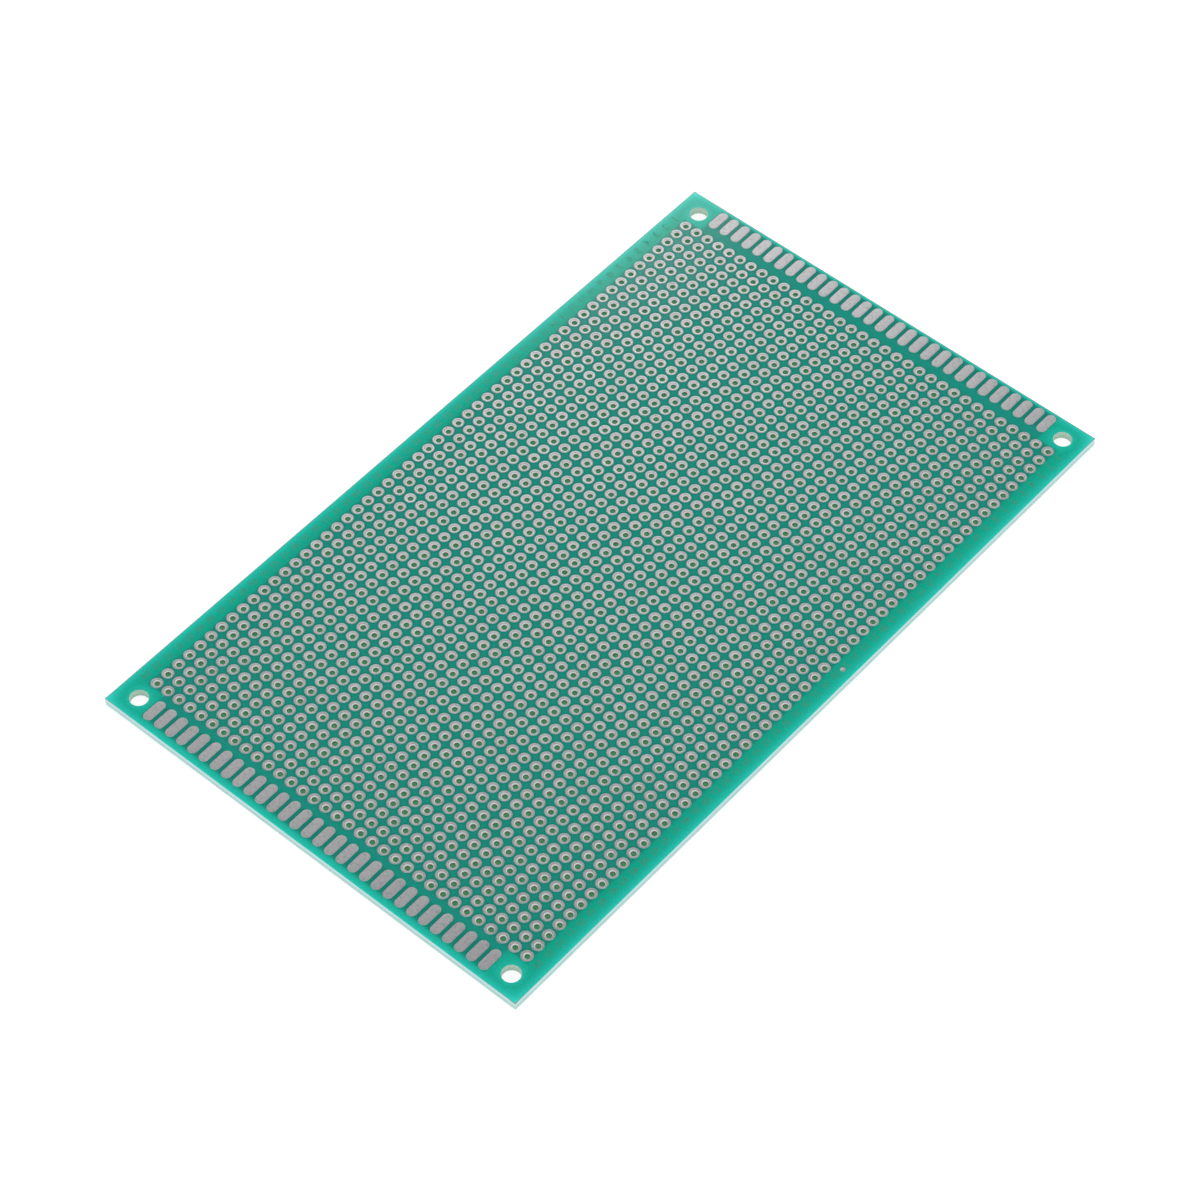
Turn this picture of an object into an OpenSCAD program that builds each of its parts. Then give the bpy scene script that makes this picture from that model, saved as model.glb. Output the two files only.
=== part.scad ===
// Single-sided prototype board, solder side up: a glass-fibre sheet with a close grid of lead
// holes, a tinned ring around each hole, a row of oblong tinned pads along each short end and a
// mounting hole in each corner. A green film covers both faces and leaves the tinned pads bare.
// The origin is at the middle of the underside. X runs along the short edges, Y along the long ones.

/* [Board] */
// Length of the short edges
board_w = 90; // [60:0.5:160]
// Length of the long edges
board_l = 150; // [80:0.5:250]
// Thickness of the bare glass-fibre sheet
sheet_t = 1.54; // [0.8:0.02:2.4]
// Thickness of the green film on each face
film_t = 0.03; // [0.02:0.005:0.06]

/* [Lead holes and round pads] */
// Distance between neighbouring holes, both ways
pitch = 2.54; // [2.54:0.01:5.08]
// Diameter of a lead hole
lead_hole_d = 1.0; // [0.7:0.05:1.1]
// Outer diameter of a round pad
pad_d = 2.1; // [1.8:0.05:2.3]
// Diameter of the opening in a round pad, wider than the lead hole
pad_bore_d = 1.3; // [1.1:0.05:1.4]
// Height of the crown of tin over the bare sheet
crown_h = 0.09; // [0.06:0.005:0.14]
// Width of the slope from the flat of the crown down to the rim
rim_slope = 0.14; // [0.08:0.01:0.18]
// Width of the slope from the flat of the crown down to the opening
bore_slope = 0.1; // [0.04:0.01:0.16]
// How far the lead holes sit off the middle of their pads, towards +X
drill_shift_x = 0.13; // [-0.15:0.01:0.15]
// How far the lead holes sit off the middle of their pads, towards +Y
drill_shift_y = -0.06; // [-0.15:0.01:0.15]
// Least bare strip between the outermost round pads and a long edge
side_land = 3.2; // [2.5:0.1:6]
// Offset of the whole grid from the middle of the board, towards +X
grid_shift_x = -0.12; // [-0.6:0.01:0.6]
// Offset of the whole grid from the middle of the board, towards +Y
grid_shift_y = 0.12; // [-0.6:0.01:0.6]

/* [End pads] */
// Width of an oblong pad, across the row
end_pad_w = 1.8; // [1.2:0.05:2.2]
// Length of an oblong pad over its round ends
end_pad_l = 4.45; // [3:0.05:6]
// Height of the flat tin on an oblong pad over the bare sheet
end_pad_h = 0.07; // [0.05:0.005:0.12]
// Distance from a short edge to the middle of the oblong pads
end_pad_inset = 3.13; // [3.1:0.01:5]
// Least gap between the oblong pads and the first row of round pads
end_pad_gap = 1.2; // [1.1:0.05:4]
// Least gap between the outermost oblong pad and a mounting hole
end_pad_hole_gap = 1.2; // [0.8:0.05:4]
// Offset of both rows of oblong pads from the middle of the board, towards +X
end_pad_shift_x = -0.25; // [-0.4:0.01:0.4]
// Offset of both rows of oblong pads from the middle of the board, towards +Y
end_pad_shift_y = 0.38; // [-0.4:0.01:0.4]

/* [Mounting holes] */
// Diameter of a mounting hole
mount_hole_d = 3.3; // [2.2:0.1:3.6]
// Distance from a long edge to a mounting hole's centre
mount_inset_x = 4.15; // [3.5:0.05:5]
// Distance from a short edge to a mounting hole's centre
mount_inset_y = 3.75; // [3.5:0.05:4]

/* [Margin dot] */
// Diameter of the small tinned dot in one long margin
dot_d = 0.9; // [0.5:0.05:1.2]
// Height of the dot over the bare sheet
dot_h = 0.07; // [0.05:0.005:0.12]
// Distance from the nearer long edge to the middle of the dot
dot_inset = 1.93; // [1:0.01:2.2]
// Distance of the dot from the middle of the board, towards +Y
dot_y = 8.15; // [-60:0.05:60]

/* [Fit] */
// Gap between a pad and the edge of its opening in the film
film_gap = 0.03; // [0.01:0.005:0.06]

/* [Hidden] */

$fn = 48;

// Levels of the stack, from the underside up
sheet_z = film_t;
front_z = film_t + sheet_t;

function copies(room, step) = floor(room / step + 0.0001) + 1;
function centred(count, step) = [for (i = [0 : count - 1]) (i - (count - 1) / 2) * step];
function moved(places, shift) = [for (p = places) p + shift];
function between(places, low, high) = [for (p = places) if (p > low && p < high) p];

// Bare margins that the mounting holes and the oblong pads leave for the rest
side_margin = side_land + pad_d / 2;
end_margin = end_pad_inset + end_pad_l / 2 + end_pad_gap + pad_d / 2;
end_pad_margin = mount_inset_x + mount_hole_d / 2 + end_pad_hole_gap + end_pad_w / 2;

columns = copies(board_w - 2 * side_margin, pitch);
rows = copies(board_l - 2 * end_margin, pitch);
end_columns = copies(board_w - 2 * end_pad_margin, pitch);

pad_xs = moved(centred(columns, pitch), grid_shift_x);
pad_ys = moved(centred(rows, pitch), grid_shift_y);
end_pad_xs = moved(centred(end_columns, pitch), end_pad_shift_x);
end_pad_ys = moved([-1, 1] * (board_l / 2 - end_pad_inset), end_pad_shift_y);
mount_xs = [-1, 1] * (board_w / 2 - mount_inset_x);
mount_ys = [-1, 1] * (board_l / 2 - mount_inset_y);
dot_x = board_w / 2 - dot_inset;

// Each sheet is drawn in bands of a few rows. A hairline far finer than the film's own grain parts
// the faces of two bands, and the sheet runs on beneath it in one piece.
rows_per_band = 6;
hairline_w = 0.02;
hairline_depth = 0.004;
bands = ceil(rows / rows_per_band);
band_edges = concat(
    [-board_l / 2],
    [for (b = [1 : bands - 1]) pad_ys[b * rows_per_band] - pitch / 2],
    [board_l / 2]
);

// Repeats its children at every crossing of two lists of places
module at_each(xs, ys) {
    for (y = ys) for (x = xs) translate([x, y]) children();
}

// Outline of an oblong pad, grown all round
module oblong(grow = 0) {
    r = end_pad_w / 2 + grow;
    straight = end_pad_l - end_pad_w;
    square([2 * r, straight], center = true);
    for (side = [-1, 1]) translate([0, side * straight / 2]) circle(r);
}

module mounting_holes(low, high) {
    at_each(mount_xs, between(mount_ys, low, high)) circle(d = mount_hole_d);
}

module lead_holes(low, high) {
    at_each(moved(pad_xs, drill_shift_x), moved(between(pad_ys, low, high), drill_shift_y))
    circle(d = lead_hole_d);
}

module pad_openings(low, high) {
    at_each(pad_xs, between(pad_ys, low, high)) circle(d = pad_d + 2 * film_gap);
    at_each(end_pad_xs, between(end_pad_ys, low, high)) oblong(film_gap);
}

module dot_opening() {
    translate([dot_x, dot_y]) circle(d = dot_d + 2 * film_gap);
}

// Part of a sheet from one end line to the other, across the whole width
module strip(low, high) {
    translate([-board_w / 2, low]) square([board_w, high - low]);
}

// A whole sheet of one thickness, with its openings: kind is "drilled", or "film" with pads bare
module sheet(thickness, kind) {
    for (b = [0 : bands - 1]) {
        low = band_edges[b] + (b > 0 ? hairline_w / 2 : 0);
        high = band_edges[b + 1] - (b < bands - 1 ? hairline_w / 2 : 0);
        linear_extrude(thickness)
        difference() {
            strip(low, high);
            mounting_holes(low, high);
            if (kind == "drilled") lead_holes(low, high);
            if (kind == "film") pad_openings(low, high);
            if (kind == "film") dot_opening();
        }
    }
    for (b = [1 : bands - 1])
    translate([0, 0, hairline_depth])
    linear_extrude(thickness - 2 * hairline_depth)
    difference() {
        strip(band_edges[b] - hairline_w / 2, band_edges[b] + hairline_w / 2);
        if (kind == "film") dot_opening();
    }
}

// Cross-section of the tin on a ring, from its bore to its rim: a low crown on a flat base
module crown_section() {
    bore_r = pad_bore_d / 2;
    rim_r = pad_d / 2;
    polygon([[bore_r, 0], [rim_r, 0], [rim_r - rim_slope, crown_h], [bore_r + bore_slope, crown_h]]);
}

module laminate() {
    color("#cfe3cf") translate([0, 0, sheet_z]) sheet(sheet_t, "drilled");
}

module solder_mask_front() {
    color("#1f9a86") translate([0, 0, front_z]) sheet(film_t, "film");
}

module solder_mask_back() {
    color("#157a68") sheet(film_t, "drilled");
}

module round_pads() {
    color("#c3bfc1")
    translate([0, 0, front_z])
    at_each(pad_xs, pad_ys)
    rotate_extrude() crown_section();
}

module end_pads() {
    color("#c3bfc1")
    translate([0, 0, front_z])
    linear_extrude(end_pad_h)
    at_each(end_pad_xs, end_pad_ys) oblong();
}

module margin_dot() {
    color("#c3bfc1") translate([dot_x, dot_y, front_z]) cylinder(d = dot_d, h = dot_h);
}

laminate();
solder_mask_front();
solder_mask_back();
round_pads();
end_pads();
margin_dot();
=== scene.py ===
# %% [markdown]
# # Prototype board, solder side up
#
# The object is a sheet of glass-fibre laminate, drilled with 33 by 54 lead holes on the standard
# pitch. Each hole has a tinned copper ring, both short ends have a row of oblong pads, and a green
# film covers the rest. The board is small and flat, so nearly all of its looks are in three
# finishes: film, tin and bare laminate. This script sets up the camera and the light, then makes
# the finishes, and last the pads and the row numbers.
#
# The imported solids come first. They stay where they are, and everything else is fitted to them.

import math

import bmesh
import bpy
from mathutils import Matrix, Vector


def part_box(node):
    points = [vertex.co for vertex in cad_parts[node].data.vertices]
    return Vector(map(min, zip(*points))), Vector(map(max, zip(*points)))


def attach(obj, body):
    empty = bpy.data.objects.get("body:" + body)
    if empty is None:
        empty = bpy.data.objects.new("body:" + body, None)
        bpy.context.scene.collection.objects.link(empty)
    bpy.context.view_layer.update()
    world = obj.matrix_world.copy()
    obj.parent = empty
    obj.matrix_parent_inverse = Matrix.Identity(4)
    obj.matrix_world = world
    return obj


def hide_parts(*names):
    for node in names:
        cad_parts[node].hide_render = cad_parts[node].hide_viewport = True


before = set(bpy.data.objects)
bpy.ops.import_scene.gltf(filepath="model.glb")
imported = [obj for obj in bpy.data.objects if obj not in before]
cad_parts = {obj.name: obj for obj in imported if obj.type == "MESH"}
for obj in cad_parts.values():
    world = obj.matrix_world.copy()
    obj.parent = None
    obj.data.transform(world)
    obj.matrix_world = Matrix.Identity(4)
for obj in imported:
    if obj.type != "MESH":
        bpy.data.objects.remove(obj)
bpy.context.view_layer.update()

MM = 0.001
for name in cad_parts:
    low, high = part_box(name)
    print(f"{name}: z {low.z / MM:.3f} to {high.z / MM:.3f} mm")

# %% [markdown]
# The board's sizes are repeated here in millimetres, because patterns in the film and the copies
# of the pads have to fall on the same places as the holes in the solids.

# %% Sizes shared with the solids, in millimetres
HALF_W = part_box("laminate")[1].x / MM
HALF_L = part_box("laminate")[1].y / MM
SHEET_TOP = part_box("laminate")[1].z / MM
FILM_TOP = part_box("solder_mask_front")[1].z / MM

PITCH = 2.54
COLUMNS, ROWS = 33, 54
GRID_MIDDLE = (-0.12, 0.12)
PAD_R = 1.05
BORE_R = 0.65

END_COLUMNS = 30
END_MIDDLE = (-0.25, 0.38)
END_ROWS_APART = 143.74
END_PAD_W, END_PAD_L = 1.8, 4.45
TIN_TOP_END = 0.07

MOUNT_AT = (40.85, 71.25)
MOUNT_R = 1.65
DOT_AT = (43.07, 8.15)
DOT_R = 0.45
print(f"board {2 * HALF_W:.1f} by {2 * HALF_L:.1f} mm, film top at {FILM_TOP:.2f} mm")

# %% [markdown]
# ## Camera
# The photograph looks down on the board from beyond its near corner, about 52 degrees above the
# table, through a long lens. The place was worked out from the middles of the round pads, which fix
# it to a fraction of a pixel. It is given in millimetres and degrees.

# %% Camera
FOCAL_LENGTH, SENSOR_WIDTH = 117.13, 36
CAMERA_AT = (267.37, -304.75, 516.77)
CAMERA_TURN = (37.6912, 0.4926, 40.9239)

lens = bpy.data.cameras.new("camera")
lens.sensor_fit = "HORIZONTAL"
lens.sensor_width = SENSOR_WIDTH
lens.lens = FOCAL_LENGTH
lens.clip_start = 0.01
lens.clip_end = 20
camera = bpy.data.objects.new("camera", lens)
camera.location = Vector(CAMERA_AT) * MM
camera.rotation_euler = [math.radians(angle) for angle in CAMERA_TURN]
bpy.context.scene.collection.objects.link(camera)
bpy.context.scene.camera = camera
bpy.context.scene.view_settings.view_transform = "Standard"
print(f"camera {camera.location.length:.3f} m from the middle of the board")

# %% [markdown]
# ## Nodes in few words
# Every finish below is a small tree of nodes. Helpers keep the trees short. One adds any node and
# feeds its inputs in order, one is for the Math node, which the patterns use most, and the rest mix
# and shade colours, add relief, and put a finish on one of the solids.

# %% Helpers for node trees
def feed(tree, socket, value):
    """Links a socket to another, or sets it to a value. None leaves it as it is."""
    if isinstance(value, bpy.types.NodeSocket):
        tree.links.new(value, socket)
    elif value is not None:
        socket.default_value = value


def feed_named(tree, node, **values):
    """Feeds inputs of a node by their names, with _ for a space."""
    for name, value in values.items():
        feed(tree, node.inputs[name.replace("_", " ")], value)


def put(tree, kind, *values, **settings):
    """Adds a node and feeds its inputs in order."""
    added = tree.nodes.new(kind)
    for key, value in settings.items():
        setattr(added, key, value)
    for socket, value in zip(added.inputs, values):
        feed(tree, socket, value)
    return added


def calc(tree, operation, *values, clamp=False):
    """One Math node and its result."""
    return put(tree, "ShaderNodeMath", *values, operation=operation, use_clamp=clamp).outputs[0]


def step(tree, value, start, end):
    """Rises smoothly from 0 at start to 1 at end."""
    node = put(tree, "ShaderNodeMapRange", value, start, end, interpolation_type="SMOOTHSTEP")
    return node.outputs[0]


def between(tree, pattern, lowest, highest):
    """Stretches a pattern from 0 to 1 so that it runs between two levels."""
    return calc(tree, "MULTIPLY_ADD", pattern, highest - lowest, lowest)


def hypotenuse(tree, x, y):
    """Length of the straight way that goes x and y far."""
    squares = [calc(tree, "POWER", side, 2) for side in (x, y)]
    return calc(tree, "SQRT", calc(tree, "ADD", *squares))


# %% Helpers for colours and finishes
def tint(tree, share, colour_a, colour_b, blend_type="MIX"):
    """Mixes two colours by a share from 0 to 1."""
    mix = tree.nodes.new("ShaderNodeMix")
    mix.data_type = "RGBA"
    mix.blend_type = blend_type
    feed(tree, mix.inputs[0], share)
    feed(tree, mix.inputs[6], colour_a)
    feed(tree, mix.inputs[7], colour_b)
    return mix.outputs[2]


def shade(tree, colour, level):
    """Multiplies a colour by one number."""
    grey = put(tree, "ShaderNodeCombineColor", level, level, level).outputs[0]
    return tint(tree, 1.0, colour, grey, "MULTIPLY")


def noise(tree, place, scale, detail, roughness=None):
    """A noise pattern from 0 to 1, with its scale per millimetre."""
    return put(tree, "ShaderNodeTexNoise", place, None, scale, detail, roughness).outputs["Fac"]


def add_relief(tree, shader, height, strength, depth):
    """Makes a pattern into fine relief, with its depth in millimetres."""
    bump = put(tree, "ShaderNodeBump")
    feed_named(tree, bump, Strength=strength, Distance=depth * MM, Height=height)
    feed_named(tree, shader, Normal=bump.outputs[0])


def new_finish(name):
    """An empty material with one Principled shader, its tree, and its places in millimetres."""
    finish = bpy.data.materials.new(name)
    finish.use_nodes = True
    tree = finish.node_tree
    shader = tree.nodes["Principled BSDF"]
    object_place = put(tree, "ShaderNodeTexCoord").outputs["Object"]
    place = put(tree, "ShaderNodeVectorMath", object_place, operation="SCALE")
    feed_named(tree, place, Scale=1 / MM)
    x, y, z = put(tree, "ShaderNodeSeparateXYZ", place.outputs[0]).outputs
    return finish, tree, shader, place.outputs[0], (x, y, z)


def dress(node, finish):
    """Gives one of the solids its finish."""
    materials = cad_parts[node].data.materials
    materials.clear()
    materials.append(finish)


print("helpers ready")

# %% [markdown]
# ## Light
# The photograph has almost no shadows: a white tent all round, and one small bright card beyond the
# far corner. The tin is rough enough to catch that card all over the board, most of all at the
# far corner, while the smooth film only begins to. A disk-shaped lamp is the card. The world is the
# tent: plain white for what it shines on, and in reflections a dull grey round the card and paler
# low down and on the other sides.

# %% Card
CARD_AZIMUTH, CARD_HEIGHT = 44, 38
CARD_AWAY, CARD_SIZE, CARD_POWER = 0.9, 0.23, 1.45

outwards = math.cos(math.radians(CARD_HEIGHT))
towards_card = Vector((
    -math.sin(math.radians(CARD_AZIMUTH)) * outwards,
    math.cos(math.radians(CARD_AZIMUTH)) * outwards,
    math.sin(math.radians(CARD_HEIGHT)),
))
card = bpy.data.lights.new("card", "AREA")
card.shape = "DISK"
card.size = CARD_SIZE
card.energy = CARD_POWER
lamp = bpy.data.objects.new("card", card)
lamp.location = towards_card * CARD_AWAY
lamp.rotation_euler = towards_card.to_track_quat("Z", "Y").to_euler()
bpy.context.scene.collection.objects.link(lamp)
print("card lies towards", tuple(round(v, 2) for v in towards_card))

# %% World
TENT_WHITE = (0.88, 0.88, 0.88, 1)
MIRRORED_DULL, MIRRORED_PALE = (0.17, 0.17, 0.175, 1), (0.6, 0.6, 0.61, 1)
PALE_AWAY_FROM_CARD, PALE_LOW_DOWN = (0.35, -0.2), (0.35, 0.05)

world = bpy.data.worlds.new("white_tent")
bpy.context.scene.world = world
world.use_nodes = True
world.cycles.sampling_method = "NONE"
tree = world.node_tree
tent = tree.nodes["Background"]
way = put(tree, "ShaderNodeTexCoord").outputs["Generated"]
height = put(tree, "ShaderNodeSeparateXYZ", way).outputs["Z"]
beside = put(tree, "ShaderNodeVectorMath", way, towards_card, operation="DOT_PRODUCT").outputs["Value"]
away = step(tree, beside, *PALE_AWAY_FROM_CARD)
low_down = step(tree, height, *PALE_LOW_DOWN)
pale = calc(tree, "MAXIMUM", away, low_down)
mirrored = tint(tree, pale, MIRRORED_DULL, MIRRORED_PALE)
rays = put(tree, "ShaderNodeLightPath")
lit = tint(tree, rays.outputs["Is Glossy Ray"], TENT_WHITE, mirrored)
feed_named(tree, tent, Color=tint(tree, rays.outputs["Is Camera Ray"], lit, (1, 1, 1, 1)))
print("tent has", len(tree.nodes), "nodes")

# %% [markdown]
# ## Floor
# A pale table just under the board. Seen by the camera, or in a polished surface, it also shines a
# little by itself, so that it reaches white while the board's own shadow still falls on it. From
# below it isn't there, and it lets light up to the underside, so the component side can be looked
# at too.

# %% Floor
FLOOR_GAP = 0.05
FLOOR_SIZE = 6
UNDERSIDE_RAY = 0.12
SEEN_GREY, SEEN_GLOW = (0.25, 0.25, 0.25, 1), 0.81

bpy.ops.mesh.primitive_plane_add(size=FLOOR_SIZE, location=(0, 0, -FLOOR_GAP * MM))
floor = bpy.context.object
floor.name = "floor"
finish = bpy.data.materials.new("pale_table")
finish.use_nodes = True
tree = finish.node_tree
tree.nodes.remove(tree.nodes["Principled BSDF"])
rays = put(tree, "ShaderNodeLightPath")
seen = calc(tree, "ADD", rays.outputs["Is Camera Ray"], rays.outputs["Is Glossy Ray"], clamp=True)
seen = calc(tree, "ADD", seen, rays.outputs["Is Transmission Ray"], clamp=True)
shaded = put(tree, "ShaderNodeBsdfDiffuse", SEEN_GREY).outputs[0]
glow = put(tree, "ShaderNodeEmission", (1, 1, 1, 1), SEEN_GLOW).outputs[0]
bright = put(tree, "ShaderNodeAddShader", shaded, glow).outputs[0]
plain = put(tree, "ShaderNodeBsdfDiffuse", TENT_WHITE).outputs[0]
table = put(tree, "ShaderNodeMixShader", seen, plain, bright).outputs[0]
from_below = put(tree, "ShaderNodeNewGeometry").outputs["Backfacing"]
from_underside = calc(tree, "LESS_THAN", rays.outputs["Ray Length"], UNDERSIDE_RAY * MM)
gone = calc(tree, "MAXIMUM", from_below, from_underside)
nothing = put(tree, "ShaderNodeBsdfTransparent").outputs[0]
surface = put(tree, "ShaderNodeMixShader", gone, table, nothing).outputs[0]
feed_named(tree, tree.nodes["Material Output"], Surface=surface)
floor.data.materials.append(finish)
print("floor", FLOOR_GAP, "mm below the board")

# %% [markdown]
# ## Green film
# The film is a thin, glossy, see-through lacquer. Its colour comes from what is behind it: light
# that enters at the cut edges and round the mounting holes runs inside the pale sheet and lifts the
# green next to them, and copper shades it inside the field of pads. That is painted here from the
# place on the board alone, so it holds from every side: distances to the edges and holes, each
# fading over about a millimetre, and a soft-edged field with a darker halo by each pad. The glass
# cloth under the film shows as a faint weave.

# %% Distances on the board
EDGE_REACH, HOLE_REACH = 1.2, 1.5
CORNER_SHARE, HOLE_SHARE = 0.9, 0.6
BORDER_SOFT = 0.35
WORN_FROM, WORN_TO = 0.2, 0.08
CORNER_WEAR_REACH, SIDE_WEAR = 2.5, 0.6


def fade(tree, distance, over):
    """1 where the distance is nothing, falling away over the given length."""
    return calc(tree, "EXPONENT", calc(tree, "MULTIPLY", distance, -1 / over))


def to_edges(tree, x, y):
    """Distances to the nearest long edge and the nearest short one."""
    to_long = calc(tree, "SUBTRACT", HALF_W, calc(tree, "ABSOLUTE", x))
    to_short = calc(tree, "SUBTRACT", HALF_L, calc(tree, "ABSOLUTE", y))
    return to_long, to_short


def to_mount(tree, x, y):
    """Distance to the middle of the nearest mounting hole."""
    off_x = calc(tree, "SUBTRACT", calc(tree, "ABSOLUTE", x), MOUNT_AT[0])
    off_y = calc(tree, "SUBTRACT", calc(tree, "ABSOLUTE", y), MOUNT_AT[1])
    return hypotenuse(tree, off_x, off_y)


def edge_light(tree, x, y):
    """How much light from the cut edges and the mounting holes reaches a place."""
    side, end = [fade(tree, distance, EDGE_REACH) for distance in to_edges(tree, x, y)]
    both = calc(tree, "MULTIPLY", calc(tree, "MINIMUM", side, end), CORNER_SHARE)
    edges = calc(tree, "ADD", calc(tree, "MAXIMUM", side, end), both)
    to_hole = calc(tree, "SUBTRACT", to_mount(tree, x, y), MOUNT_R)
    by_hole = calc(tree, "MULTIPLY", fade(tree, to_hole, HOLE_REACH), HOLE_SHARE)
    return calc(tree, "MAXIMUM", by_hole, edges)


def worn_line(tree, x, y):
    """Share of a thin line along the rim, where the cutter chipped the film."""
    to_long, to_short = to_edges(tree, x, y)
    by_corner = fade(tree, calc(tree, "MAXIMUM", to_long, to_short), CORNER_WEAR_REACH)
    to_left = calc(tree, "ADD", x, HALF_W)
    to_far = calc(tree, "SUBTRACT", HALF_L, y)
    by_left_or_far = step(tree, calc(tree, "MINIMUM", to_left, to_far), 2 * WORN_FROM, WORN_FROM)
    by_side = calc(tree, "MULTIPLY", by_left_or_far, SIDE_WEAR)
    chipped = calc(tree, "MAXIMUM", by_corner, by_side)
    on_line = step(tree, calc(tree, "MINIMUM", to_long, to_short), WORN_FROM, WORN_TO)
    return calc(tree, "MULTIPLY", on_line, chipped)


def inside(tree, x, y, middle, half_x, half_y):
    """1 inside a rectangle on the board, with a soft border."""
    off_x = calc(tree, "ABSOLUTE", calc(tree, "SUBTRACT", x, middle[0]))
    off_y = calc(tree, "ABSOLUTE", calc(tree, "SUBTRACT", y, middle[1]))
    to_side = calc(tree, "SUBTRACT", half_x, off_x)
    to_end = calc(tree, "SUBTRACT", half_y, off_y)
    return step(tree, calc(tree, "MINIMUM", to_side, to_end), -BORDER_SOFT, BORDER_SOFT)


def to_nearest(tree, value, first, apart):
    """Distance along one axis to the nearest of a row of places."""
    return calc(tree, "PINGPONG", calc(tree, "SUBTRACT", value, first), apart / 2)


print("light fades over", EDGE_REACH, "mm from an edge and", HOLE_REACH, "mm from a hole")

# %% Field of pads
GRID_X, GRID_Y = (COLUMNS - 1) / 2 * PITCH, (ROWS - 1) / 2 * PITCH
END_X = (END_COLUMNS - 1) / 2 * PITCH
FIELD_X, FIELD_Y = GRID_X + PAD_R, GRID_Y + PAD_R
END_FIELD_X = END_X + END_PAD_W / 2
END_FIELD_Y = END_ROWS_APART / 2 + END_PAD_L / 2
FIRST_PAD = (GRID_MIDDLE[0] - GRID_X, GRID_MIDDLE[1] - GRID_Y)
RING_HALO, END_HALO = 0.25, 0.6


def ring_halo(tree, x, y):
    """Copper shade in the grid: darkest by the rim of the nearest ring, and fading away from it."""
    across = to_nearest(tree, x, FIRST_PAD[0], PITCH)
    along = to_nearest(tree, y, FIRST_PAD[1], PITCH)
    to_rim = calc(tree, "SUBTRACT", hypotenuse(tree, across, along), PAD_R)
    return fade(tree, calc(tree, "MAXIMUM", to_rim, 0), RING_HALO)


def end_halo(tree, x, y):
    """The same beside the oblong pads, where two of them stand close together."""
    across = to_nearest(tree, x, END_MIDDLE[0] - END_X, PITCH)
    to_pad = calc(tree, "MAXIMUM", calc(tree, "SUBTRACT", across, END_PAD_W / 2), 0)
    along = calc(tree, "ABSOLUTE", calc(tree, "SUBTRACT", y, END_MIDDLE[1]))
    off_row = calc(tree, "ABSOLUTE", calc(tree, "SUBTRACT", along, END_ROWS_APART / 2))
    beside = step(tree, off_row, END_PAD_L / 2, END_PAD_L / 2 - 0.9)
    return calc(tree, "MULTIPLY", fade(tree, to_pad, END_HALO), beside)


print(f"field {2 * FIELD_X:.2f} by {2 * FIELD_Y:.2f} mm")
print(f"ends {2 * END_FIELD_X:.2f} by {2 * END_FIELD_Y:.2f} mm")

# %% Colour of the film
FIELD_GREEN = (0.011, 0.262, 0.202, 1)
HALO_GREEN = (0.002, 0.13, 0.095, 1)
WORN_GREY = (0.2, 0.22, 0.18, 1)
FRONT_DARK, FRONT_GAIN = (0.004, 0.335, 0.22), (0.02, 0.25, 0.26)
BACK_DARK, BACK_GAIN = (0.006, 0.26, 0.18), (0.015, 0.2, 0.19)
HALO_SHARE = 0.6
WEAVE_X, WEAVE_Y = 0.58, 0.8
FILM_SHINE = 0.08


def cloth(tree, x, y):
    """A plain weave, from 0 to 1, at the thread count of the glass cloth."""
    warp = calc(tree, "SINE", calc(tree, "MULTIPLY", x, 2 * math.pi / WEAVE_X))
    weft = calc(tree, "SINE", calc(tree, "MULTIPLY", y, 2 * math.pi / WEAVE_Y))
    return calc(tree, "MULTIPLY_ADD", calc(tree, "MULTIPLY", warp, weft), 0.5, 0.5)


def lifted_green(tree, x, y, dark, gain):
    """Green of the film away from copper, lifted by the light from edges and holes."""
    light = edge_light(tree, x, y)
    parts = [calc(tree, "MULTIPLY_ADD", light, more, least) for least, more in zip(dark, gain)]
    return put(tree, "ShaderNodeCombineColor", *parts).outputs[0]


def film_colour(tree, place, x, y):
    """Colour of the film on the solder side."""
    margin = lifted_green(tree, x, y, FRONT_DARK, FRONT_GAIN)
    grid = inside(tree, x, y, GRID_MIDDLE, FIELD_X, FIELD_Y)
    ends = inside(tree, x, y, END_MIDDLE, END_FIELD_X, END_FIELD_Y)
    green = tint(tree, calc(tree, "MAXIMUM", grid, ends), margin, FIELD_GREEN)
    by_ring = calc(tree, "MULTIPLY", ring_halo(tree, x, y), grid)
    by_end_pad = calc(tree, "MULTIPLY", end_halo(tree, x, y), ends)
    halo = calc(tree, "MULTIPLY", calc(tree, "MAXIMUM", by_ring, by_end_pad), HALO_SHARE)
    green = tint(tree, halo, green, HALO_GREEN)
    green = tint(tree, worn_line(tree, x, y), green, WORN_GREY)
    threads = between(tree, cloth(tree, x, y), 0.95, 1.05)
    mottle = between(tree, noise(tree, place, 2.4, 4.0, 0.7), 0.75, 1.25)
    return shade(tree, green, calc(tree, "MULTIPLY", threads, mottle))


print("weave of", WEAVE_X, "by", WEAVE_Y, "mm")

# %% Film on the solder side
film_front, tree, shader, place, (x, y, _) = new_finish("green_film_front")
feed_named(tree, shader, Base_Color=film_colour(tree, place, x, y), Roughness=0.12)
feed_named(tree, shader, Specular_IOR_Level=FILM_SHINE)
relief = calc(tree, "MULTIPLY_ADD", cloth(tree, x, y), 0.25, noise(tree, place, 0.9, 2.0))
add_relief(tree, shader, relief, strength=0.2, depth=0.02)
dress("solder_mask_front", film_front)
print("film over the solder side has", len(tree.nodes), "nodes")
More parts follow.
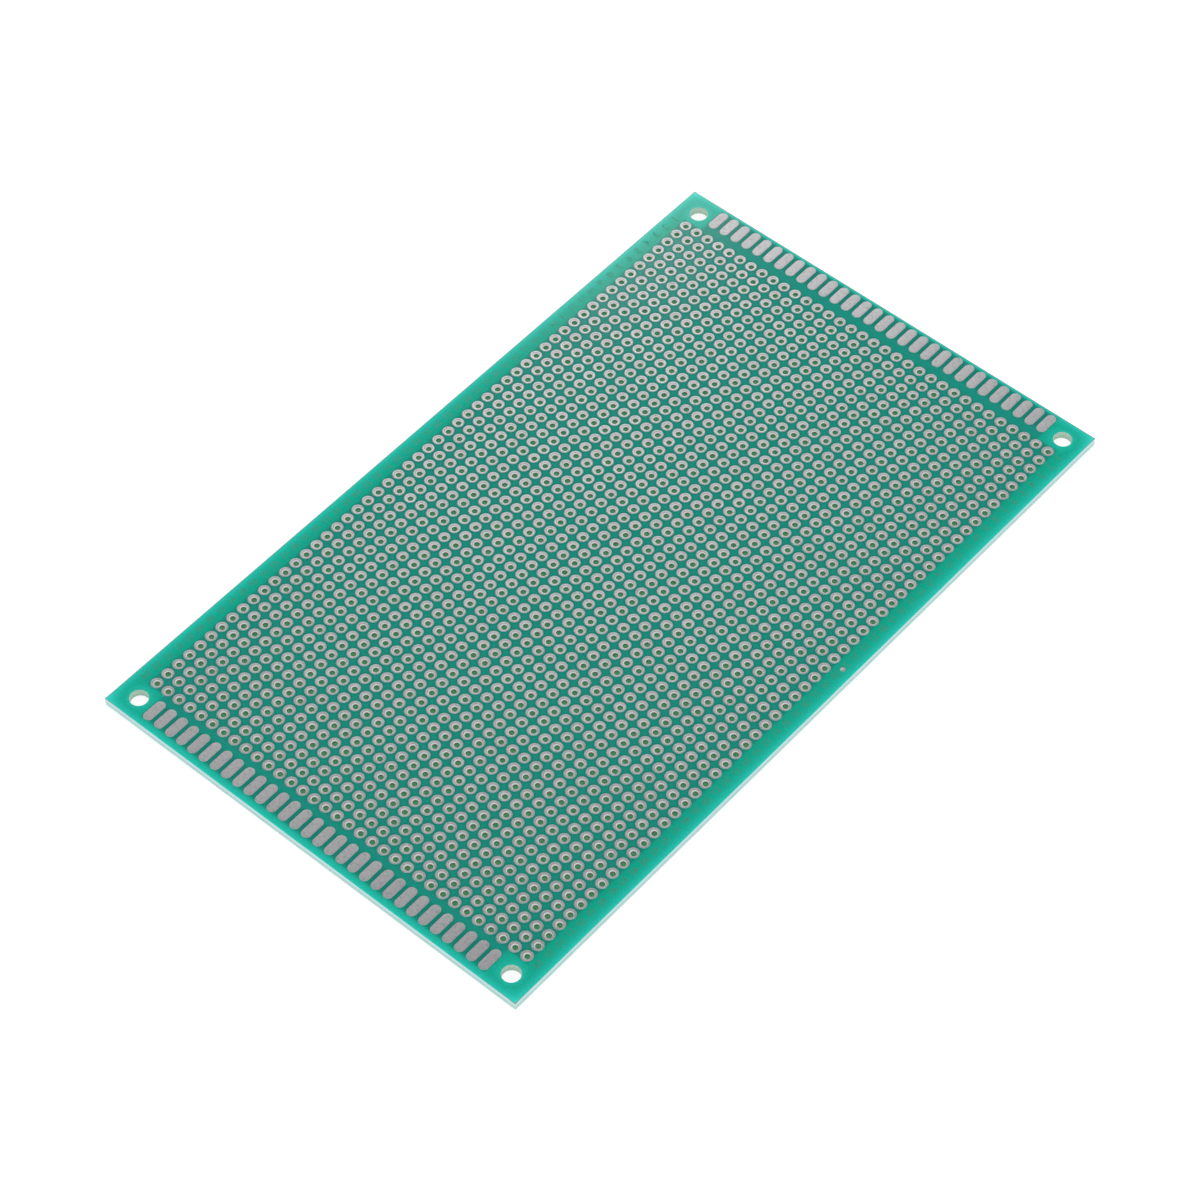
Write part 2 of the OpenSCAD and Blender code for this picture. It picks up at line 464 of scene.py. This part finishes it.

# %% [markdown]
# ## Back film
# The component side has the same lacquer and no copper, so it is one even, slightly deeper green
# that only lightens along the edges and by the mounting holes, with the same painted light as the
# solder side.

# %% Film on the component side
film_back, tree, shader, place, (x, y, _) = new_finish("green_film_back")
green = lifted_green(tree, x, y, BACK_DARK, BACK_GAIN)
threads = between(tree, cloth(tree, x, y), 0.97, 1.03)
mottle = between(tree, noise(tree, place, 1.6, 3.0), 0.92, 1.08)
green = shade(tree, green, calc(tree, "MULTIPLY", threads, mottle))
feed_named(tree, shader, Base_Color=green, Roughness=0.3, Specular_IOR_Level=FILM_SHINE)
dress("solder_mask_back", film_back)
print("film over the component side has", len(tree.nodes), "nodes")

# %% [markdown]
# ## Laminate
# Bare glass fibre shows in three places. The cut edges and mounting holes are pale, in fine layers,
# and that pale colour is lifted further with painted light for the light that runs through them. A
# narrow ledge inside each ring is pale grey. The walls of the lead holes carry a painted green glow,
# since all the light that reaches them has come through the film, painted dimmer towards the mouth.

# %% Bare glass fibre
PLY = 0.22
MOUTH_FROM, MOUTH_TO = SHEET_TOP - 0.75, SHEET_TOP - 0.3
LEDGE_FROM, LEDGE_TO = SHEET_TOP - 0.1, SHEET_TOP - 0.02
# The mounting hole wall is the sheet's own pale colour, lifted with painted light.
LEDGE_GREY, MOUNT_WALL_LIT = (0.64, 0.65, 0.64, 1), (0.68, 0.86, 0.74, 1)
# Painted glow of the lead hole walls: bright deep down, dimmer towards the mouth.
WALL_GLOW_GREEN, MOUTH_GLOW_GREEN = (0.32, 0.84, 0.46, 1), (0.2, 0.36, 0.24, 1)
# Colour of the cut edge up its height: the sheet's own pale colour lifted with painted light, lighter
# near the top and the foot and darker across the middle.
EDGE_LIT_STOPS = (
    (0.0, (0.58, 0.82, 0.79)), (0.2, (0.54, 0.79, 0.76)), (0.36, (0.53, 0.78, 0.75)),
    (0.5, (0.56, 0.82, 0.8)), (0.62, (0.64, 0.9, 0.9)), (1.0, (0.66, 0.92, 0.91)),
)

laminate, tree, shader, place, (x, y, z) = new_finish("glass_fibre_sheet")
past_long = calc(tree, "SUBTRACT", calc(tree, "ABSOLUTE", x), HALF_W)
past_short = calc(tree, "SUBTRACT", calc(tree, "ABSOLUTE", y), HALF_L)
on_edge = step(tree, calc(tree, "MAXIMUM", past_long, past_short), -0.1, -0.02)
on_mount = step(tree, to_mount(tree, x, y), MOUNT_R + 0.15, MOUNT_R + 0.05)

layer_place = put(tree, "ShaderNodeMapping", place)
feed_named(tree, layer_place, Scale=(0.25, 0.25, 6))
layers = noise(tree, layer_place.outputs[0], 1.0, 4.0)
level = between(tree, layers, 0.7, 1.3)
bands = put(tree, "ShaderNodeValToRGB", calc(tree, "DIVIDE", z, FILM_TOP))
while len(bands.color_ramp.elements) < len(EDGE_LIT_STOPS):
    bands.color_ramp.elements.new(0.5)
for element, (at, colour) in zip(bands.color_ramp.elements, EDGE_LIT_STOPS):
    element.position = at
    element.color = (*colour, 1)
lit_cut_edge = shade(tree, bands.outputs[0], level)
plies = calc(tree, "SINE", calc(tree, "MULTIPLY", z, 2 * math.pi / PLY))
plies = calc(tree, "MULTIPLY_ADD", plies, 0.1, 0.9)
lit_mount_wall = shade(tree, shade(tree, MOUNT_WALL_LIT, level), plies)

# The lead hole walls take the painted glow, under a pale grey ledge at the top.
ledge = step(tree, z, LEDGE_FROM, LEDGE_TO)
mouth = step(tree, z, MOUTH_FROM, MOUTH_TO)
deep = tint(tree, ledge, tint(tree, mouth, WALL_GLOW_GREEN, MOUTH_GLOW_GREEN), LEDGE_GREY)
colour = tint(tree, on_mount, tint(tree, on_edge, deep, lit_cut_edge), lit_mount_wall)
feed_named(tree, shader, Base_Color=colour, Roughness=0.55)
add_relief(tree, shader, layers, strength=0.3, depth=0.02)
dress("laminate", laminate)
print("bare glass fibre has", len(tree.nodes), "nodes")

# %% [markdown]
# ## Tin
# The pads were dipped in molten tin and blown level with hot air, which leaves a soft grey with a
# faint grain. A metal has no colour of its own beyond its reflection, so the tin is a rough mirror
# whose tone and roughness wander a little, with darker pits here and there. Three numbers travel
# with the meshes: `tone` makes each pad slightly lighter or darker than its neighbours, `dull` makes
# the wide oblong pads a little rougher than the rings, and `rim` is 1 at the outer foot of the tin,
# where a painted reflection of the green film is mixed into the tin's colour.

# %% Tin
TIN_GREY, RIM_FILM_REFLECTION = (0.705, 0.705, 0.715, 1), (0.69, 0.9, 0.88, 1)

tin, tree, shader, place, _ = new_finish("hot_air_tin")
tone, dull, rim = [
    put(tree, "ShaderNodeAttribute", attribute_name=name).outputs["Fac"]
    for name in ("tone", "dull", "rim")
]
grain = noise(tree, place, 3.2, 4.0, 0.75)
pits = step(tree, noise(tree, place, 1.7, 1.0), 0.6, 0.68)
level = between(tree, tone, 0.92, 1.0)
level = calc(tree, "MULTIPLY", level, between(tree, grain, 0.56, 1.46))
level = calc(tree, "MULTIPLY", level, between(tree, pits, 1.0, 0.86))
rough = calc(tree, "ADD", dull, between(tree, grain, 0.425, 0.565))
# Towards the rim the tin's colour takes a painted reflection of the green film.
colour = shade(tree, tint(tree, rim, TIN_GREY, RIM_FILM_REFLECTION), level)
feed_named(tree, shader, Base_Color=colour, Metallic=1, Roughness=rough)
add_relief(tree, shader, grain, strength=0.4, depth=0.01)
print("tin has", len(tree.nodes), "nodes")

# %% [markdown]
# ## One pad of each kind
# Tin draws up into a low crown. A ring is a short cross-section turned about its middle, and a
# pad's shape is the same idea carried round an oblong outline. Both are closed underneath. Edges
# along the outline are kept sharp and those across it smooth, so the pad looks round from above
# while its flat top stays flat. There are 1782 rings, so one has 14 sides and 56 faces, which is
# enough at its size. Sections are given from the rim inwards, in millimetres over the bare sheet.

# %% Meshes of one pad
def lay_loops(loops, closed_section):
    """A mesh through loops of points of equal number, in millimetres, laid from the rim inwards."""
    shape = bmesh.new()
    rim = shape.verts.layers.float.new("rim")
    rows = [[shape.verts.new(Vector(point) * MM) for point in loop] for loop in loops]
    for vertex in rows[0]:
        vertex[rim] = 1
    pairs = list(zip(rows, rows[1:]))
    if closed_section:
        pairs.append((rows[-1], rows[0]))
    for outer, inner in pairs:
        for i in range(len(outer)):
            j = (i + 1) % len(outer)
            shape.faces.new((outer[i], outer[j], inner[j], inner[i]))
    if not closed_section:
        shape.faces.new(rows[-1])
        shape.faces.new(list(reversed(rows[0])))
    bmesh.ops.recalc_face_normals(shape, faces=shape.faces)
    foot = min(v.co.z for v in shape.verts) + 1e-9
    for face in shape.faces:
        face.smooth = True
    for edge in shape.edges:
        on_sheet = all(v.co.z <= foot for v in edge.verts)
        on_outline = any(set(edge.verts) <= set(row) for row in rows)
        edge.smooth = not (on_sheet or on_outline)
    return shape


def as_piece(name, shape):
    """Makes a shape into an object in the scene."""
    mesh = bpy.data.meshes.new(name)
    shape.to_mesh(mesh)
    shape.free()
    piece = bpy.data.objects.new(name, mesh)
    bpy.context.scene.collection.objects.link(piece)
    return piece


def circle(radius, height, sides, lean=0.0):
    """Points of a circle. Lean lifts one side a little, as tin sags to one side of a pad."""
    points = []
    for i in range(sides):
        turn = 2 * math.pi * i / sides
        lifted = SHEET_TOP + height * (1 + lean * math.cos(turn))
        points.append((radius * math.cos(turn), radius * math.sin(turn), lifted))
    return points


def oblong(inset, height, steps=7):
    """Points of an oblong with round ends, drawn in from the pad's outline."""
    radius = END_PAD_W / 2 - inset
    straight = (END_PAD_L - END_PAD_W) / 2
    points = []
    for side, first in ((1, 0), (-1, math.pi)):
        for i in range(steps + 1):
            turn = first + math.pi * i / steps
            along = side * straight + radius * math.sin(turn)
            points.append((radius * math.cos(turn), along, SHEET_TOP + height))
    return points


# %% One ring, one oblong pad and the dot
RING_SIDES, DOT_SIDES = 14, 24
RING_LEAN = 0.1
RING_SECTION = ((PAD_R, 0), (PAD_R - 0.09, 0.08), (BORE_R + 0.08, 0.078), (BORE_R, 0))
OBLONG_SECTION = ((0, 0), (0.05, 0.06), (0.3, 0.066), (0.6, TIN_TOP_END - 0.001))
DOT_SECTION = ((DOT_R, 0), (DOT_R - 0.04, 0.055), (DOT_R - 0.2, 0.064), (DOT_R - 0.35, 0.067))

ring_loops = [circle(r, h, RING_SIDES, RING_LEAN) for r, h in RING_SECTION]
ring = as_piece("round_pad_tin", lay_loops(ring_loops, closed_section=True))
oblong_loops = [oblong(inset, h) for inset, h in OBLONG_SECTION]
end_pad = as_piece("end_pad_tin", lay_loops(oblong_loops, closed_section=False))
dot_loops = [circle(r, h, DOT_SIDES) for r, h in DOT_SECTION]
dot = as_piece("margin_dot_tin", lay_loops(dot_loops, closed_section=False))
dot.data.transform(Matrix.Translation((DOT_AT[0] * MM, DOT_AT[1] * MM, 0)))
for piece in (ring, end_pad, dot):
    print(piece.name, "has", len(piece.data.polygons), "faces")

# %% [markdown]
# ## Pads on their grids
# Both kinds of pad stand on a regular grid, so one Geometry Nodes tree serves both: it makes the
# points, puts the pad that it is given on each, turns each copy by a random angle where it is told
# to, and writes `tone` and `dull` on it. Copies cost nothing while they are instances, but other
# programs drop instances, so the tree ends by making them real.

# %% Tree that lays pads on a grid
def grid_tree():
    """A Geometry Nodes tree that lays copies of a pad on a grid, each with its own tone."""
    tree = bpy.data.node_groups.new("pads_on_a_grid", "GeometryNodeTree")
    tree.is_modifier = True
    sockets = {"Pad": "NodeSocketGeometry", "Columns": "NodeSocketInt", "Rows": "NodeSocketInt"}
    for label in ("Column Spacing", "Row Spacing", "Middle X", "Middle Y"):
        sockets[label] = "NodeSocketFloat"
    for label in ("Turn", "Tone From", "Tone To", "Dullness"):
        sockets[label] = "NodeSocketFloat"
    sockets["Seed"] = "NodeSocketInt"
    sockets["Finish"] = "NodeSocketMaterial"
    for label, kind in sockets.items():
        tree.interface.new_socket(label, in_out="INPUT", socket_type=kind)
    tree.interface.new_socket("Pads", in_out="OUTPUT", socket_type="NodeSocketGeometry")
    given = tree.nodes.new("NodeGroupInput").outputs

    def span(count, spacing):
        """Length of the grid along one side."""
        return calc(tree, "MULTIPLY", calc(tree, "SUBTRACT", given[count], 1), given[spacing])

    def draw(lowest, highest, seed):
        """A random number for each copy, between two numbers."""
        drawn = put(tree, "FunctionNodeRandomValue", data_type="FLOAT")
        feed(tree, drawn.inputs[2], lowest)
        feed(tree, drawn.inputs[3], highest)
        feed_named(tree, drawn, Seed=seed)
        return drawn.outputs[1]

    def write(geometry, label, value):
        """Writes a number on each copy, for the finish to read."""
        store = put(tree, "GeometryNodeStoreNamedAttribute", data_type="FLOAT", domain="INSTANCE")
        feed_named(tree, store, Geometry=geometry, Name=label, Value=value)
        return store.outputs[0]

    sizes = (span("Columns", "Column Spacing"), span("Rows", "Row Spacing"))
    counts = (given["Columns"], given["Rows"])
    points = put(tree, "GeometryNodeMeshGrid", *sizes, *counts).outputs["Mesh"]
    middle = put(tree, "ShaderNodeCombineXYZ", given["Middle X"], given["Middle Y"], 0.0).outputs[0]
    points = put(tree, "GeometryNodeSetPosition", points, None, None, middle).outputs[0]

    turn = draw(0.0, given["Turn"], given["Seed"])
    turn = put(tree, "ShaderNodeCombineXYZ", 0.0, 0.0, turn).outputs[0]
    turn = put(tree, "FunctionNodeEulerToRotation", turn).outputs[0]
    copies = put(tree, "GeometryNodeInstanceOnPoints")
    feed_named(tree, copies, Points=points, Instance=given["Pad"], Rotation=turn)

    tone_seed = calc(tree, "ADD", given["Seed"], 2)
    tone = draw(given["Tone From"], given["Tone To"], tone_seed)
    toned = write(copies.outputs[0], "tone", tone)
    marked = write(toned, "dull", given["Dullness"])

    real = put(tree, "GeometryNodeRealizeInstances", marked).outputs[0]
    finished = put(tree, "GeometryNodeSetMaterial", real, None, given["Finish"]).outputs[0]
    feed(tree, tree.nodes.new("NodeGroupOutput").inputs[0], finished)
    return tree


lay_on_grid = grid_tree()
print("tree has", len(lay_on_grid.nodes), "nodes")

# %% Lay the pads
def lay(piece, **sizes):
    """Puts the tree on a piece, feeds its inputs by name, and keeps the result as a plain mesh."""
    modifier = piece.modifiers.new("grid", "NODES")
    modifier.node_group = lay_on_grid
    inputs = [item for item in lay_on_grid.interface.items_tree if item.in_out == "INPUT"]
    identifiers = {item.name: item.identifier for item in inputs}
    for label, value in sizes.items():
        modifier[identifiers[label.replace("_", " ")]] = value
    bpy.context.view_layer.update()
    whole = piece.evaluated_get(bpy.context.evaluated_depsgraph_get())
    mesh = bpy.data.meshes.new_from_object(whole)
    piece.modifiers.remove(modifier)
    piece.data = mesh
    print(piece.name, "has", len(mesh.polygons), "faces", [round(v / MM, 2) for v in piece.dimensions])


lay(ring, Columns=COLUMNS, Rows=ROWS, Column_Spacing=PITCH * MM, Row_Spacing=PITCH * MM,
    Middle_X=GRID_MIDDLE[0] * MM, Middle_Y=GRID_MIDDLE[1] * MM, Turn=2 * math.pi,
    Tone_From=0.0, Tone_To=1.0, Dullness=0.0, Seed=3, Finish=tin)
lay(end_pad, Columns=END_COLUMNS, Rows=2, Column_Spacing=PITCH * MM, Row_Spacing=END_ROWS_APART * MM,
    Middle_X=END_MIDDLE[0] * MM, Middle_Y=END_MIDDLE[1] * MM, Turn=0.0,
    Tone_From=0.75, Tone_To=1.45, Dullness=0.08, Seed=11, Finish=tin)
dot.data.materials.append(tin)

for piece, node in ((ring, "round_pads"), (end_pad, "end_pads"), (dot, "margin_dot")):
    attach(piece, "root")
    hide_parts(node)

# %% [markdown]
# ## Row numbers
# Each row of holes has an index in white ink on the component side, in both long margins. From the
# solder side the ink shades the light inside the sheet, which shows as a faint, mirrored, brownish
# mark. Plain numbers stand for it. They are flat letters, laid twice: as they read from below, under
# the board, and mirrored on the film as painted shade, in the film's own colour with a touch of brown.

# %% Meshes of the numbers
NUMBER_HIGH = 1.5
NUMBER_X = (-43.25, 42.95)
DIGIT_SHARE = 0.7
TWO_DIGITS_NARROWER = 0.78
STROKE_FATTER = 0.045
INK = 0.002


def number_shape(text):
    """A flat mesh of one number, in millimetres, with its middle at the origin."""
    letters = bpy.data.curves.new("number", "FONT")
    letters.body = text
    letters.align_x, letters.align_y = "CENTER", "CENTER"
    letters.size = NUMBER_HIGH / DIGIT_SHARE * (1 if len(text) == 1 else TWO_DIGITS_NARROWER)
    letters.resolution_u = 2
    letters.offset = STROKE_FATTER
    letters.extrude = INK
    drawn = bpy.data.objects.new("number", letters)
    bpy.context.scene.collection.objects.link(drawn)
    bpy.context.view_layer.update()
    mesh = bpy.data.meshes.new_from_object(drawn.evaluated_get(bpy.context.evaluated_depsgraph_get()))
    bpy.data.objects.remove(drawn)
    bpy.data.curves.remove(letters)
    return mesh


def row_numbers(name, upwards, height):
    """Numbers for all rows in both margins, their tops towards -X, read from below or mirrored."""
    up = 1 if upwards else -1
    shape = bmesh.new()
    for row in range(ROWS):
        mesh = number_shape(str(ROWS - row))
        y = FIRST_PAD[1] + row * PITCH
        for x in NUMBER_X:
            copy = mesh.copy()
            copy.transform(Matrix(((0, -1, 0, x), (-1, 0, 0, y), (0, 0, up, height), (0, 0, 0, 1))))
            shape.from_mesh(copy)
            bpy.data.meshes.remove(copy)
        bpy.data.meshes.remove(mesh)
    bmesh.ops.remove_doubles(shape, verts=shape.verts, dist=1e-5)
    bmesh.ops.recalc_face_normals(shape, faces=shape.faces)
    bmesh.ops.scale(shape, vec=(MM, MM, MM), verts=shape.verts)
    return as_piece(name, shape)


ink_shade_numbers = row_numbers("row_numbers_ink_shade", True, FILM_TOP)
printed = row_numbers("row_numbers_printed", False, 0)
print("numbers have", len(ink_shade_numbers.data.polygons), "faces a side")

# %% Inks
# Painted shade of the ink inside the sheet: the film's colour with a touch of brown.
INK_SHADE_BROWN = (0.07, 0.23, 0.14, 1)
INK_WHITE, INK_THIN = (0.78, 0.79, 0.76, 1), (0.45, 0.6, 0.52, 1)

through, tree, shader, place, (x, y, _) = new_finish("painted_ink_shade")
share = calc(tree, "MULTIPLY", noise(tree, place, 2.2, 2.0), 0.9)
colour = tint(tree, share, film_colour(tree, place, x, y), INK_SHADE_BROWN)
feed_named(tree, shader, Base_Color=colour, Roughness=0.3, Specular_IOR_Level=FILM_SHINE)
ink_shade_numbers.data.materials.append(through)

white, tree, shader, place, _ = new_finish("white_ink")
thin = step(tree, noise(tree, place, 6.0, 3.0), 0.62, 0.75)
feed_named(tree, shader, Base_Color=tint(tree, thin, INK_WHITE, INK_THIN), Roughness=0.6)
printed.data.materials.append(white)
for piece in (ink_shade_numbers, printed):
    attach(piece, "root")
print("inks made")
